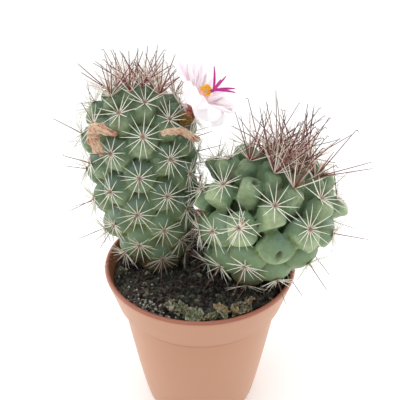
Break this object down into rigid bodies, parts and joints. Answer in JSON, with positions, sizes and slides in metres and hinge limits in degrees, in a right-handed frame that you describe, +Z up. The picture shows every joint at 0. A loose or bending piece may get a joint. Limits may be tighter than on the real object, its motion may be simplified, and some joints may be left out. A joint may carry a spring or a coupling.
{
  "type": "potted mammillaria fraileana",
  "caption": "Potted Mammillaria fraileana: two tubercled stems with starburst spines and hooked centrals, an open flower and withered ones, in a round nursery pot.",
  "frame": {"origin": "centre of the pot's underside", "axes": "+Z up, +X towards the shorter stem, on the picture's right, +Y to the back of the picture's view"},
  "size_m": [0.0959, 0.0656, 0.1287],
  "materials": {
    "pot": "satin, thin-walled terracotta-coloured nursery pot",
    "soil": "matte, dark peat with pale grains",
    "stem_left": "matte, waxy blue-green skin, cream spines and maroon hooked centrals",
    "stem_right": "matte, waxy green skin, cream spines and maroon hooked centrals",
    "flower_petals": "satin, white with pale pink midstripes",
    "flower_stamens": "matte, yellow",
    "flower_pistil": "satin, magenta",
    "withered_flower_left": "matte, dry and creased",
    "withered_flower_right": "matte, dry and creased",
    "old_bud": "matte, dry, olive brown"
  },
  "bodies": {
    "root": {"pot": "pot", "soil": "soil", "stem_left": "stem_left", "stem_right": "stem_right", "flower_petals": "flower_petals", "flower_stamens": "flower_stamens", "flower_pistil": "flower_pistil", "withered_flower_left": "withered_flower_left", "withered_flower_right": "withered_flower_right", "old_bud": "old_bud"}
  },
  "joints": []
}
